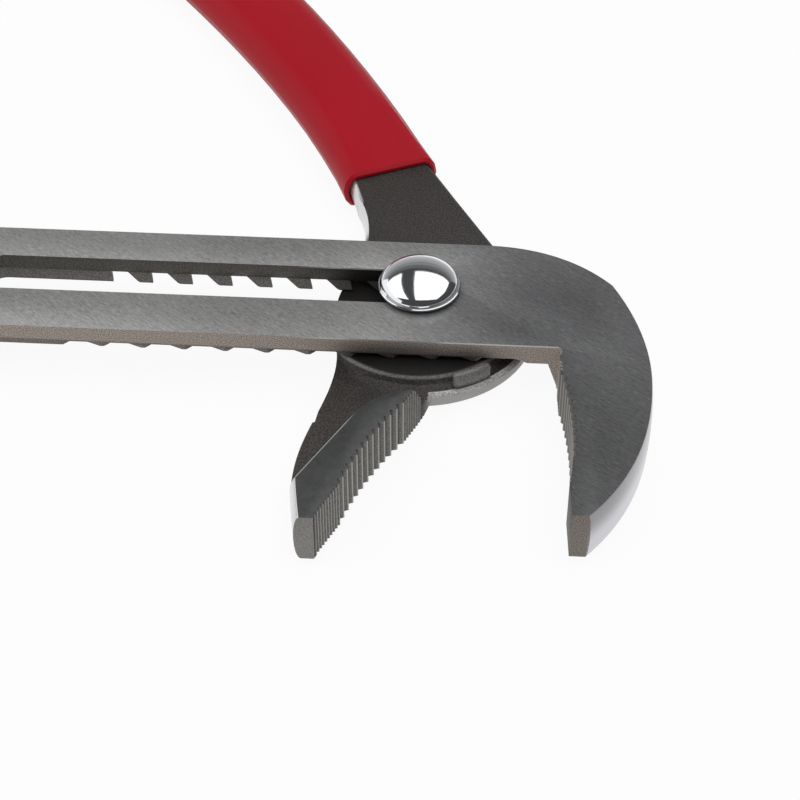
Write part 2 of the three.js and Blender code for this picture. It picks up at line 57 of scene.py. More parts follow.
# Zones of the tones. Each pair is where the zone begins and where it is full, along a place in
# millimetres (x, y, z, radius, off_border) or a part of the surface's normal (nx, ny, nz).
FACES_FRONT = {"nz": [(0.80, 0.95)]}
FRONT_LEVEL = {"z": [(FRONT - 0.8, FRONT - 0.3)]}
# Painted highlight along the arm's front bottom corner
ARM_CORNER_HIGHLIGHT = {
    "x": [(-34, -18)],
    "y": [(-29, -27)],
    "z": [(FRONT - 0.50, FRONT - 0.34)],
    "ny": [(-0.1, -0.3)],
}
SLOT = {
    "x": [(10, 8), (SLOT_END - 0.6, SLOT_END - 0.2)],
    "y": [(SLOT_HALF + 0.4, SLOT_HALF + 0.2), (-SLOT_HALF - 0.4, -SLOT_HALF - 0.2)],
}
SLOT_LIP = {"nz": [(0.3, 0.5)]}
# Painted shade of the bolt and the hub on the slot's walls and lip
SLOT_BY_BOLT = {"x": [(-34, -13)]}
OUTER_WALL = {"x": [(14, 18)], "nx": [(0.08, 0.25)]}
# Painted shade on the polished wall at the front near the hook's tip
OUTER_WALL_TIP_SHADE = {"y": [(-20, -72)], "z": [(6, 13)]}
HOOK_TEETH = {"x": [(30, 31)], "y": [(-24, -26)], "nx": [(-0.35, -0.55)]}
# Painted light and shade on the ground front: lighter on the arm, shaded on the hook
LIT_ARM_HALF = {"x": [(30, -20)]}
SHADED_HOOK_HALF = {"y": [(-4, -62)]}
LEFT_OF_HOOK = {"x": [(30, 20)]}
# Painted light on the ground front: lighter patches at the crown and the beak, darker at the bend and the
# arm's middle
CROWN = {"x": [(-6, 8), (46, 34)], "y": [(2, 14)]}
BEAK = {"x": [(45, 41)], "y": [(-34, -52)]}
BEND = {"x": [(10, 24), (50, 40)], "y": [(6, -4), (-22, -14)]}
ARM_MIDDLE = {"x": [(-66, -46), (-10, -24)]}
# Painted shade on the arm's edge walls: low on the hook and over the hub
HOOK_LOW = {"y": [(-40, -60)]}
OVER_HUB = {"x": [(-25, -10), (29, 14)], "y": [(-30, -27)], "z": [(FRONT + 0.6, FRONT - 4)]}
# Painted shade under the arm, on the lands between the grooves
GROOVE_LANDS = {"x": [(20, 10)], "y": [(-10, -12)], "z": [(11.3, 10.9)]}
PAD = {"y": [(-30, -33)], "z": [(FRONT - 0.8, FRONT - 0.3)]}
# Painted highlight along the pad's straight border
PAD_BORDER_HIGHLIGHT = {"y": [(-44, -50)], "z": [(FRONT - 0.6, FRONT - 0.3)], "off_border": [(0.32, 0.18)]}
JAW_TEETH = {"y": [(-33, -34)], "nx": [(0.15, 0.25)], "nz": [(0.3, 0.2)]}
JAW_END = {"y": [(-77, -78.5)], "ny": [(-0.85, -0.95)]}
JAW_BACK = {"y": [(-62, -66)], "nx": [(-0.25, -0.5)]}
JAW_SKIN = {"y": [(-30, -40)]}
NECK_WALL = {"y": [(24, 30)], "nx": [(-0.25, -0.5)]}
HUB_RIM = {"x": [(2, 5)], "y": [(5, -5)], "z": [(HUB_FACE + 0.1, HUB_FACE - 0.1)]}
HUB_RIM_EDGE = {"nz": [(0.25, 0.45)]}
# The tongue: scratched and lighter, and partly a painted highlight on its top
TONGUE = {
    "x": [(8, 9)],
    "y": [(-20, -21), (-33, -31)],
    "z": [(HUB_FACE + 0.3, HUB_FACE + 1.2)],
    "radius": [(26.7, 27.0)],
}
# Painted shadow of the arm on the bearing's top, and a painted highlight on its rounded edge
BEARING_TOP_SHADOW = {"y": [(12, 8)], "z": [(8.6, 9.0)], "radius": [(25.9, 25.2)]}
BEARING_EDGE_HIGHLIGHT = {"y": [(12, 8)], "z": [(8.0, 8.5)], "radius": [(24.9, 25.4), (26.5, 26.0)]}
# Collar under the head's rim, darkened as painted shade
COLLAR = {"z": [(COLLAR_TOP, COLLAR_TOP - 0.1)]}

# Gains and losses of brightness in zones, as parts of one: painted light and shade, and a lighter skin
# towards the jaw
FRONT_PAINTED_LIGHT = ((CROWN, 0.25), (BEAK, 0.26), (BEND, -0.17), (ARM_MIDDLE, -0.14))
EDGE_PAINTED_SHADE = ((HOOK_LOW, -0.38), (OVER_HUB, -0.45))
LAND_PAINTED_SHADE = ((GROOVE_LANDS, -0.45),)
SLOT_PAINTED_SHADE = ((SLOT_BY_BOLT, -0.85),)
SKIN_GAINS = ((JAW_SKIN, 0.35),)

# Tones, linear
# Ground front: a lit tone, a shaded tone and a darker tone for the hook, all painted light and shade
GROUND_SHADED = (0.184, 0.186, 0.190)
GROUND_LIT = (0.434, 0.431, 0.424)
GROUND_HOOK_SHADE = (0.100, 0.101, 0.103)
EDGE_DARK = (0.182, 0.156, 0.138)
EDGE_LIGHT = (0.585, 0.507, 0.450)
# Slot walls and lip: darker tones of the blasted steel as painted shade in the slot; the lip, which faces
# up, is a little lighter
SLOT_SHADED_DARK = (0.042, 0.039, 0.035)
SLOT_SHADED_LIGHT = (0.210, 0.196, 0.171)
LIP_SHADED_DARK = (0.070, 0.066, 0.060)
LIP_SHADED_LIGHT = (0.238, 0.224, 0.207)
POLISH_LIGHT = (0.605, 0.605, 0.648)
# Painted shade on the polished wall near the hook's tip
POLISH_TIP_SHADE = (0.30, 0.30, 0.31)
# Upper jaw's teeth: painted shade in the valleys, painted highlight on the crests
TOOTH_VALLEY_SHADE = (0.060, 0.056, 0.050)
TOOTH_MIDDLE = (0.150, 0.140, 0.126)
TOOTH_LIGHT = (0.230, 0.218, 0.200)
TOOTH_CREST_HIGHLIGHT = (0.38, 0.365, 0.34)
# Painted highlight on the arm's corner and the pad's border
EDGE_HIGHLIGHT_TONE = (0.55, 0.54, 0.52)
SKIN_DARK = (0.016, 0.015, 0.013)
SKIN_LIGHT = (0.113, 0.101, 0.095)
# Painted shadow of the arm on the bearing's top
BEARING_SHADOW_TONE = (0.012, 0.011, 0.010)
# Scratched tongue, partly a painted highlight; also used for the painted highlight on the bearing's edge
TONGUE_DARK = (0.050, 0.048, 0.045)
TONGUE_LIGHT = (0.325, 0.319, 0.306)
PAD_DARK = (0.080, 0.081, 0.082)
PAD_LIGHT = (0.108, 0.109, 0.110)
# Lower jaw's teeth: painted shade in the valleys, painted highlight on the crests
JAW_TOOTH_VALLEY_SHADE = (0.030, 0.028, 0.026)
JAW_TOOTH_MIDDLE = (0.110, 0.103, 0.096)
JAW_TOOTH_LIGHT = (0.260, 0.248, 0.232)
JAW_TOOTH_CREST_HIGHLIGHT = (0.50, 0.48, 0.45)
END_DARK = (0.168, 0.161, 0.151)
END_LIGHT = (0.364, 0.350, 0.329)
RIM_DARK = (0.265, 0.257, 0.250)
RIM_LIGHT = (0.576, 0.561, 0.545)
RIM_EDGE_LIGHT = (0.806, 0.786, 0.760)
BACK_DARK = (0.55, 0.55, 0.55)
BACK_LIGHT = (0.85, 0.85, 0.85)
CHROME_TINT = (0.87, 0.89, 0.92)
PLATE_TINT = (0.62, 0.63, 0.64)
VINYL_DARK = (0.370, 0.004, 0.013)
VINYL_LIGHT = (0.450, 0.008, 0.020)

# Noises: scale, detail, roughness, and for lines their turn and their stretch
GRIND_TURN = math.radians(36)
BRUSH_TURN = math.radians(-61)
SCRATCH = (1.0, 2.0, 0.65, GRIND_TURN, (640, 5200, 2500))
STREAK = (1.0, 2.0, 0.6, GRIND_TURN, (200, 2300, 900))
BRUSH = (1.0, 2.0, 0.6, BRUSH_TURN, (90, 2400, 900))
POLISH_CLOUD = (26.0, 3.0, 0.55)
EDGE_GRAIN = (3200.0, 3.0, 0.75)
SLOT_SPECK = (3000.0, 4.0, 0.8)
SKIN_GRAIN = (2600.0, 4.0, 0.8)
SKIN_CLOUD = (40.0, 3.0, 0.6)
PAD_MOTTLE = (420.0, 4.0, 0.7)
CHROME_CLOUD = (60.0, 3.0, 0.5)
CHROME_FINE = (1400.0, 3.0, 0.6)
VINYL_CLOUD = (18.0, 3.0, 0.5)
VINYL_FINE = (900.0, 3.0, 0.6)
VINYL_WAVES = (55.0, 2.0, 0.4)

# Contrast of the noises: the noise values that give the dark and the light tone
SCRATCH_SPAN = (0.25, 0.75)
STREAK_SPAN = (0.2, 0.8)
GRAIN_SPAN = (0.36, 0.64)
SPECK_SPAN = (0.34, 0.66)
SKIN_SPAN = (0.36, 0.70)
TONGUE_SPAN = (0.25, 0.7)
MOTTLE_SPAN = (0.25, 0.75)
RIM_SPAN = (0.35, 0.65)

# Lines and clouds as brightness: (gain, base)
SCRATCH_SHADE = (0.66, 0.67)
STREAK_SHADE = (0.30, 0.85)
BRUSH_SHADE = (0.2, 0.9)
POLISH_SHADE = (0.3, 0.85)
SKIN_SHADE = (0.4, 0.8)

# Across a tooth, the place of its valley of painted shade, its light flank and its crest of painted
# highlight
HOOK_FLANK = (0.5, 0.15)
HOOK_CREST = (0.12, 0.04)
JAW_FLANK = (0.5, 0.8)
JAW_CREST = (0.88, 0.96)

# Roughness of the finishes, and how far that of plated metal varies
EDGE_ROUGH = 0.62
GROUND_ROUGH = 0.48
POLISH_ROUGH = 0.26
SKIN_ROUGH = 0.55
PAD_ROUGH = 0.45
BACK_ROUGH = 0.24
CHROME_ROUGH = 0.09
PLATE_ROUGH = 0.32
COLLAR_ROUGH = 0.25
VINYL_ROUGH = (0.34, 0.48)
ROUGH_LOW = 0.7
ROUGH_HIGH = 1.4

# Metal and gloss of the finishes, tone lost by wear and tone left on the collar as painted shade under
# the head's rim
EDGE_METAL = 0.35
SKIN_METAL = 0.45
GROUND_METAL = 0.80
VINYL_SPECULAR = 0.15
CHROME_WEAR = 0.05
PLATE_WEAR = 0.20
COLLAR_SHADE_SHARE = 0.22

# Bumps: strength and depth in millimetres, and the share of each noise in the height
GROUND_BUMP = (0.30, 0.05)
SKIN_BUMP = (0.55, 0.09)
CHROME_BUMP = (0.03, 0.01)
VINYL_BUMP = (0.20, 0.30)
SCRATCH_SHARE = 0.35
BRUSH_SHARE = 0.05
WAVE_SHARE = 0.7
FINE_SHARE = 0.06
FLAT = 0.5

# Modifiers: millimetres and angles
WELD_REACH = 0.002
FLAT_ANGLE = math.radians(0.3)
BEVEL_ANGLE = math.radians(36)
SMOOTH_ANGLE = math.radians(32)

# Studio: places and sizes in metres, greys and strengths as parts of white, power in watts
FLOOR_REACH = 6.0
FLOOR_LEVEL = -0.0004
FLOOR_TONE = 0.86
FLOOR_WHITE = 0.93
SOFT_LIGHT = 0.28
WINDOW_SIZE = (0.95, 1.20)
WINDOW_POWER = 4.6
WINDOW_LEFT = (-0.82, 0.06, 0.68)
WINDOW_RIGHT = (0.38, 0.06, 0.68)
BACKDROP_Y = 1.6
BACKDROP_SIZE = (4.0, 0.32)
BACKDROP_GREYS = (0.48, 0.36, 0.24, 0.14)
ROOM_GREY = 0.06
ROOM_HALF = 2.5
ROOM_HIGH = 1.5

# Camera fitted to the photograph
CAMERA_PLACE = (17.58 * MM, -376.57 * MM, 337.82 * MM)
CAMERA_TILT = math.radians(46.21)
CAMERA_TURN = math.radians(3.40)
CAMERA_LENS = 90.0
CAMERA_SENSOR = 36.0
CAMERA_NEAR = 0.01


class Tree:
    """A material's node tree with short calls for the nodes used here."""

    def __init__(self, name):
        self.material = bpy.data.materials.new(name)
        self.material.use_nodes = True
        self.tree = self.material.node_tree
        self.bsdf = self.tree.nodes["Principled BSDF"]
        coords = self.tree.nodes.new("ShaderNodeTexCoord")
        self.object = coords.outputs["Object"]
        places = self.split(self.shade(self.object, 1 / MM))
        normals = self.split(coords.outputs["Normal"])
        self.axes = dict(zip(("x", "y", "z", "nx", "ny", "nz"), places + normals))

    def link(self, value, socket):
        """A socket is linked, and a number is set."""
        if isinstance(value, bpy.types.NodeSocket):
            self.tree.links.new(value, socket)
        else:
            socket.default_value = value

    def finish(self, **inputs):
        """Sets or links inputs of the shader, with spaces written as underscores."""
        for name, value in inputs.items():
            self.link(value, self.bsdf.inputs[name.replace("_", " ")])

    def split(self, vector):
        """The three parts of a vector."""
        node = self.tree.nodes.new("ShaderNodeSeparateXYZ")
        self.link(vector, node.inputs[0])
        return tuple(node.outputs)

    def math(self, operation, *values):
        """One sum, product or other operation on numbers."""
        node = self.tree.nodes.new("ShaderNodeMath")
        node.operation = operation
        for value, socket in zip(values, node.inputs):
            self.link(value, socket)
        return node.outputs[0]

    def ramp(self, value, gain, base):
        """The base, with the gain added in full where the value is 1."""
        return self.math("MULTIPLY_ADD", value, gain, base)

    def step(self, value, none, full):
        """Smooth rise from 0 at none to 1 at full; none may be the larger one."""
        node = self.tree.nodes.new("ShaderNodeMapRange")
        node.interpolation_type = "SMOOTHSTEP"
        self.link(value, node.inputs["Value"])
        node.inputs["From Min"].default_value = min(none, full)
        node.inputs["From Max"].default_value = max(none, full)
        node.inputs["To Min"].default_value = float(none > full)
        node.inputs["To Max"].default_value = float(none < full)
        return node.outputs[0]

    def both(self, *masks):
        """Product of all the masks."""
        result = masks[0]
        for mask in masks[1:]:
            result = self.math("MULTIPLY", result, mask)
        return result

    def less(self, mask):
        """All that is outside a mask."""
        return self.math("SUBTRACT", 1.0, mask)

    def zone(self, zone, *masks):
        """Mask of a zone, within other masks."""
        rises = [self.step(self.axes[axis], *pair) for axis, pairs in zone.items() for pair in pairs]
        return self.both(*masks, *rises)

    def noise(self, scale, detail, rough, turn=0.0, stretch=(1, 1, 1)):
        """Noise of a given scale; turn is about Z and comes before the stretch."""
        spin = self.tree.nodes.new("ShaderNodeMapping")
        spin.inputs["Rotation"].default_value = (0, 0, turn)
        self.link(self.object, spin.inputs["Vector"])
        mapping = self.tree.nodes.new("ShaderNodeMapping")
        mapping.inputs["Scale"].default_value = stretch
        self.link(spin.outputs[0], mapping.inputs["Vector"])
        node = self.tree.nodes.new("ShaderNodeTexNoise")
        node.inputs["Scale"].default_value = scale
        node.inputs["Detail"].default_value = detail
        node.inputs["Roughness"].default_value = rough
        self.link(mapping.outputs[0], node.inputs["Vector"])
        return node.outputs["Fac"]

    def between(self, data, kind, mask, values):
        """The first value where the mask is 0 and the second where it is 1."""
        node = self.tree.nodes.new("ShaderNodeMix")
        node.data_type = data
        self.link(mask, node.inputs["Factor"])
        sockets = [socket for socket in node.inputs if socket.type == kind and socket.name in "AB"]
        for value, socket in zip(values, sockets):
            self.link(value, socket)
        return [socket for socket in node.outputs if socket.type == kind][0]

    def mix(self, mask, off, on):
        """Colour off where the mask is 0 and colour on where it is 1."""
        colours = [(*tone, 1.0) if isinstance(tone, tuple) else tone for tone in (off, on)]
        return self.between("RGBA", "RGBA", mask, colours)

    def blend(self, mask, off, on):
        """Number off where the mask is 0 and number on where it is 1."""
        return self.between("FLOAT", "VALUE", mask, (off, on))

    def shade(self, colour, factor):
        """Colour or vector times a factor."""
        node = self.tree.nodes.new("ShaderNodeVectorMath")
        node.operation = "SCALE"
        self.link(colour, node.inputs[0])
        self.link(factor, node.inputs["Scale"])
        return node.outputs[0]

    def even(self, colour, gains):
        """Colour made brighter or darker in zones."""
        factor = 1.0
        for zone, gain in gains:
            factor = self.ramp(self.zone(zone), gain, factor)
        return self.shade(colour, factor)

    def teeth(self, start, angle, fine, coarse, coarse_end):
        """Place across a tooth, 0 and 1 at the crests; fine and coarse are (first crest, pitch)."""
        along_x = self.math("MULTIPLY", self.math("SUBTRACT", self.axes["x"], start[0]), math.cos(angle))
        along_y = self.math("MULTIPLY", self.math("SUBTRACT", self.axes["y"], start[1]), math.sin(angle))
        place = self.math("ADD", along_x, along_y)
        phases = []
        for first, pitch in (fine, coarse):
            count = self.math("DIVIDE", self.math("SUBTRACT", place, first), pitch)
            phases.append(self.math("FRACT", count))
        after_start = self.math("GREATER_THAN", place, coarse[0])
        before_end = self.math("LESS_THAN", place, coarse_end)
        return self.blend(self.both(after_start, before_end), *phases)

    def bump(self, height, strength, depth):
        """Bump on the shader's normal, with its depth in millimetres."""
        node = self.tree.nodes.new("ShaderNodeBump")
        node.inputs["Strength"].default_value = strength
        node.inputs["Distance"].default_value = depth * MM
        self.link(height, node.inputs["Height"])
        self.link(node.outputs[0], self.bsdf.inputs["Normal"])


def ground_front(tree, scratch):
    """Ground and scratched front of the upper jaw, with painted light: lighter on the arm, painted shade
    towards the hook, and painted patches of lighter and darker reflection.
    """
    # Painted light and shade: the arm lit, the hook shaded
    colour = tree.mix(tree.zone(LIT_ARM_HALF), GROUND_SHADED, GROUND_LIT)
    colour = tree.mix(tree.zone(SHADED_HOOK_HALF), colour, tree.mix(tree.zone(LEFT_OF_HOOK), GROUND_HOOK_SHADE, colour))
    fine = tree.ramp(tree.step(scratch, *SCRATCH_SPAN), *SCRATCH_SHADE)
    wide = tree.ramp(tree.step(tree.noise(*STREAK), *STREAK_SPAN), *STREAK_SHADE)
    # Painted lighter and darker patches of the lamps' reflections
    return tree.even(tree.shade(colour, tree.both(fine, wide)), FRONT_PAINTED_LIGHT)


def blasted_edge(tree, grain):
    """Brown grainy edge walls of the arm, with painted shade low on the hook, over the hub and on the
    lands between grooves.
    """
    colour = tree.mix(tree.step(grain, *GRAIN_SPAN), EDGE_DARK, EDGE_LIGHT)
    # Painted shade on the edge walls and on the lands
    return tree.even(tree.even(colour, EDGE_PAINTED_SHADE), LAND_PAINTED_SHADE)


def outer_wall(tree):
    """Polished wall round the hook, with painted shade at the front near its tip."""
    colour = tree.mix(tree.zone(OUTER_WALL_TIP_SHADE), POLISH_LIGHT, POLISH_TIP_SHADE)
    return tree.shade(colour, tree.ramp(tree.noise(*POLISH_CLOUD), *POLISH_SHADE))


def hook_teeth(tree, speck):
    """Painted shade in the valleys, specked flanks and painted highlights on the crests of the upper
    jaw's teeth.
    """
    phase = tree.teeth(HOOK_ROOT, HOOK_ANGLE, HOOK_FINE, HOOK_COARSE, HOOK_COARSE_END)
    flank = tree.mix(speck, TOOTH_MIDDLE, TOOTH_LIGHT)
    # Painted shade in the valleys, painted highlight on the crests
    colour = tree.mix(tree.step(phase, *HOOK_FLANK), TOOTH_VALLEY_SHADE, flank)
    return tree.mix(tree.step(phase, *HOOK_CREST), colour, TOOTH_CREST_HIGHLIGHT)


def ground_steel():
    """Upper jaw: ground front, blasted edges, slot darkened with painted shade, polished outer wall,
    toothed face, painted highlight on the arm's corner.
    """
    tree = Tree("ground_steel")
    facing = tree.zone(FACES_FRONT)
    side = tree.less(facing)
    front = tree.zone(FRONT_LEVEL, facing)
    slot = tree.zone(SLOT, tree.less(front))
    outer = tree.zone(OUTER_WALL, side)
    corner_highlight = tree.zone(ARM_CORNER_HIGHLIGHT, side)

    scratch = tree.noise(*SCRATCH)
    grain = tree.noise(*EDGE_GRAIN)
    speck = tree.noise(*SLOT_SPECK)
    contrast = tree.step(speck, *SPECK_SPAN)
    # Painted shade in the slot, deepest by the bolt; the lip a little lighter
    wall = tree.even(tree.mix(contrast, SLOT_SHADED_DARK, SLOT_SHADED_LIGHT), SLOT_PAINTED_SHADE)
    shaded_ledge = tree.even(tree.mix(contrast, LIP_SHADED_DARK, LIP_SHADED_LIGHT), SLOT_PAINTED_SHADE)

    colour = tree.mix(front, blasted_edge(tree, grain), ground_front(tree, scratch))
    colour = tree.mix(slot, colour, wall)
    colour = tree.mix(tree.zone(SLOT_LIP, slot), colour, shaded_ledge)
    colour = tree.mix(outer, colour, outer_wall(tree))
    colour = tree.mix(tree.zone(HOOK_TEETH, side), colour, hook_teeth(tree, speck))
    # Painted highlight along the arm's corner
    colour = tree.mix(corner_highlight, colour, EDGE_HIGHLIGHT_TONE)
    rough = tree.blend(front, EDGE_ROUGH, GROUND_ROUGH)
    rough = tree.blend(tree.math("MAXIMUM", outer, corner_highlight), rough, POLISH_ROUGH)
    metal = tree.blend(tree.math("MAXIMUM", front, outer), EDGE_METAL, GROUND_METAL)
    tree.finish(Base_Color=colour, Roughness=rough, Metallic=metal)
    height = tree.blend(front, grain, tree.math("MULTIPLY", scratch, SCRATCH_SHARE))
    tree.bump(tree.blend(outer, height, FLAT), *GROUND_BUMP)
    return tree.material


def add_jaw_axes(tree):
    """Distance from the pivot and from the pad's border, for the lower jaw's zones."""
    x, y = tree.axes["x"], tree.axes["y"]
    square = tree.math("ADD", tree.math("MULTIPLY", x, x), tree.math("MULTIPLY", y, y))
    tree.axes["radius"] = tree.math("SQRT", square)
    across_x = tree.math("MULTIPLY", tree.math("SUBTRACT", x, PAD_CORNER[0]), math.sin(PAD_BORDER_ANGLE))
    across_y = tree.math("MULTIPLY", tree.math("SUBTRACT", y, PAD_CORNER[1]), math.cos(PAD_BORDER_ANGLE))
    tree.axes["off_border"] = tree.math("ABSOLUTE", tree.math("SUBTRACT", across_x, across_y))


def jaw_teeth(tree, grain):
    """Painted shade in the valleys, grainy flanks and painted highlights on the crests of the lower jaw's
    teeth.
    """
    phase = tree.teeth(JAW_TIP, JAW_ANGLE, JAW_FINE, JAW_COARSE, JAW_COARSE_END)
    flank = tree.mix(tree.step(grain, *GRAIN_SPAN), JAW_TOOTH_MIDDLE, JAW_TOOTH_LIGHT)
    # Painted shade in the valleys, painted highlight on the crests
    colour = tree.mix(tree.step(phase, *JAW_FLANK), JAW_TOOTH_VALLEY_SHADE, flank)
    return tree.mix(tree.step(phase, *JAW_CREST), colour, JAW_TOOTH_CREST_HIGHLIGHT)


def hub_tones(tree, skin, grain):
    """Forged skin with the lighter scratched tongue, partly a painted highlight, a painted highlight on
    the bearing's rounded edge and painted shadow of the arm on the bearing's top.
    """
    # Scratched tone of the tongue, used too as painted highlight
    scratched_and_highlight = tree.mix(tree.step(grain, *TONGUE_SPAN), TONGUE_DARK, TONGUE_LIGHT)
    colour = tree.mix(tree.zone(TONGUE), skin, scratched_and_highlight)
    # Painted highlight on the bearing's edge, painted shadow on its top
    colour = tree.mix(tree.zone(BEARING_EDGE_HIGHLIGHT), colour, scratched_and_highlight)
    return tree.mix(tree.zone(BEARING_TOP_SHADOW), colour, BEARING_SHADOW_TONE)


def forged_steel():
    """Lower jaw: dark forged skin, ground pad, toothed face, light rim and polished back, with painted
    light and shade on the hub, the teeth and the pad's border.
    """
    tree = Tree("forged_steel")
    add_jaw_axes(tree)
    facing = tree.zone(FACES_FRONT)
    side = tree.less(facing)
    pad = tree.zone(PAD, facing)
    rim = tree.zone(HUB_RIM, side)
    polished = tree.math("MAXIMUM", tree.zone(JAW_BACK, side), tree.zone(NECK_WALL, side))

    grain = tree.noise(*SKIN_GRAIN)
    cloud = tree.noise(*SKIN_CLOUD)
    brush = tree.noise(*BRUSH)
    skin = tree.even(tree.mix(tree.step(grain, *SKIN_SPAN), SKIN_DARK, SKIN_LIGHT), SKIN_GAINS)
    skin = tree.shade(skin, tree.ramp(cloud, *SKIN_SHADE))
    ground = tree.mix(tree.step(tree.noise(*PAD_MOTTLE), *MOTTLE_SPAN), PAD_DARK, PAD_LIGHT)
    ground = tree.shade(ground, tree.ramp(brush, *BRUSH_SHADE))
    end = tree.mix(tree.step(grain, *SPECK_SPAN), END_DARK, END_LIGHT)
    rim_edge = tree.mix(tree.step(grain, *RIM_SPAN), RIM_DARK, RIM_EDGE_LIGHT)

    colour = hub_tones(tree, skin, grain)
    colour = tree.mix(pad, colour, ground)
    colour = tree.mix(tree.zone(JAW_TEETH, side), colour, jaw_teeth(tree, grain))
    colour = tree.mix(tree.zone(JAW_END, side), colour, end)
    colour = tree.mix(rim, colour, tree.mix(cloud, RIM_DARK, RIM_LIGHT))
    colour = tree.mix(tree.zone(HUB_RIM_EDGE, rim), colour, rim_edge)
    colour = tree.mix(polished, colour, tree.mix(cloud, BACK_DARK, BACK_LIGHT))
    # Painted highlight along the pad's border
    colour = tree.mix(tree.zone(PAD_BORDER_HIGHLIGHT), colour, EDGE_HIGHLIGHT_TONE)
    rough = tree.blend(polished, tree.blend(pad, SKIN_ROUGH, PAD_ROUGH), BACK_ROUGH)
    metal = tree.blend(tree.math("MAXIMUM", pad, polished), SKIN_METAL, GROUND_METAL)
    tree.finish(Base_Color=colour, Roughness=rough, Metallic=metal)
    height = tree.blend(pad, grain, tree.math("MULTIPLY", brush, BRUSH_SHARE))
    tree.bump(tree.blend(polished, height, FLAT), *SKIN_BUMP)
    return tree.material


def plated(tree, tint, rough, wear):
    """Tone and roughness of plated metal, and its bump."""
    fine = tree.noise(*CHROME_FINE)
    tree.bump(fine, *CHROME_BUMP)
    worn = tuple(part * (1 - wear) for part in tint)
    tone = tree.mix(tree.noise(*CHROME_CLOUD), worn, tint)
    return tone, tree.blend(fine, rough * ROUGH_LOW, rough * ROUGH_HIGH)


def polished_bolt():
    """Chrome dome on a rougher collar, darkened with painted shade under the head's rim."""
    tree = Tree("polished_bolt")
    tone, rough = plated(tree, CHROME_TINT, CHROME_ROUGH, CHROME_WEAR)
    collar = tree.zone(COLLAR)
    # Painted shade on the collar under the rim
    tone = tree.mix(collar, tone, tuple(part * COLLAR_SHADE_SHARE for part in CHROME_TINT))
    tree.finish(Base_Color=tone, Roughness=tree.blend(collar, rough, COLLAR_ROUGH), Metallic=1.0)
    return tree.material


def plated_hardware():
    """Zinc on the washer and the nut."""
    tree = Tree("plated_hardware")
    tone, rough = plated(tree, PLATE_TINT, PLATE_ROUGH, PLATE_WEAR)
    tree.finish(Base_Color=tone, Roughness=rough, Metallic=1.0)
    return tree.material


def dipped_vinyl():
    """Red sleeves with a slightly wavy, half-matt skin."""
    tree = Tree("dipped_vinyl")
    fine = tree.noise(*VINYL_FINE)
    tone = tree.mix(tree.noise(*VINYL_CLOUD), VINYL_DARK, VINYL_LIGHT)
    rough = tree.blend(fine, *VINYL_ROUGH)
    tree.finish(Base_Color=tone, Roughness=rough, Specular_IOR_Level=VINYL_SPECULAR)
    waves = tree.math("MULTIPLY", tree.noise(*VINYL_WAVES), WAVE_SHARE)
    tree.bump(tree.math("ADD", waves, tree.math("MULTIPLY", fine, FINE_SHARE)), *VINYL_BUMP)
    return tree.material


def smooth_group():
    """Geometry nodes that shade faces smooth and keep sharp edges sharp."""
    group = bpy.data.node_groups.new("smooth_by_angle", "GeometryNodeTree")
    group.interface.new_socket("Geometry", in_out="INPUT", socket_type="NodeSocketGeometry")
    group.interface.new_socket("Geometry", in_out="OUTPUT", socket_type="NodeSocketGeometry")
    start = group.nodes.new("NodeGroupInput")
    end = group.nodes.new("NodeGroupOutput")
    faces = group.nodes.new("GeometryNodeSetShadeSmooth")
    faces.domain = "FACE"
    edges = group.nodes.new("GeometryNodeSetShadeSmooth")
    edges.domain = "EDGE"
    edges.inputs["Shade Smooth"].default_value = False
    angle = group.nodes.new("GeometryNodeInputMeshEdgeAngle")
    wide = group.nodes.new("FunctionNodeCompare")
    wide.operation = "GREATER_THAN"
    wide.inputs["B"].default_value = SMOOTH_ANGLE
    group.links.new(angle.outputs["Unsigned Angle"], wide.inputs["A"])
    group.links.new(start.outputs[0], faces.inputs["Geometry"])
    group.links.new(faces.outputs[0], edges.inputs["Geometry"])
    group.links.new(wide.outputs[0], edges.inputs["Selection"])
    group.links.new(edges.outputs[0], end.inputs[0])
    return group


SMOOTH = smooth_group()


def finish_edges(obj, edge):
    """Small rounds on the sharp edges, and smooth shading between them."""
    weld = obj.modifiers.new("weld", "WELD")
    weld.merge_threshold = WELD_REACH * MM
    if edge > 0:
        flat = obj.modifiers.new("flat", "DECIMATE")
        flat.decimate_type = "DISSOLVE"
        flat.angle_limit = FLAT_ANGLE
        bevel = obj.modifiers.new("edge", "BEVEL")
        bevel.width = edge * MM
        bevel.segments = 2
        bevel.limit_method = "ANGLE"
        bevel.angle_limit = BEVEL_ANGLE
        bevel.use_clamp_overlap = True
    smooth = obj.modifiers.new("smooth", "NODES")
    smooth.node_group = SMOOTH


def dress(node, material, edge=0.0):
    """Material of one piece of the CAD, and the width of its edge rounds in millimetres."""
    obj = frame["nodes"][node]
    obj.data.materials.clear()
    obj.data.materials.append(material)
    finish_edges(obj, edge)


hardware = plated_hardware()
vinyl = dipped_vinyl()
dress("upper_jaw", ground_steel(), edge=0.22)
dress("lower_jaw", forged_steel(), edge=0.18)
dress("pivot_bolt", polished_bolt())
dress("pivot_washer", hardware, edge=0.12)
dress("pivot_nut", hardware, edge=0.20)
dress("upper_grip", vinyl)
dress("lower_grip", vinyl)


def seen_ray(tree):
    """One for rays that show the background: from the camera, off metal or through glass."""
    path = tree.nodes.new("ShaderNodeLightPath")
    seen = path.outputs["Is Camera Ray"]
    for ray in ("Is Glossy Ray", "Is Transmission Ray"):
        either = tree.nodes.new("ShaderNodeMath")
        either.operation = "MAXIMUM"
        tree.links.new(seen, either.inputs[0])
        tree.links.new(path.outputs[ray], either.inputs[1])
        seen = either.outputs[0]
    return seen


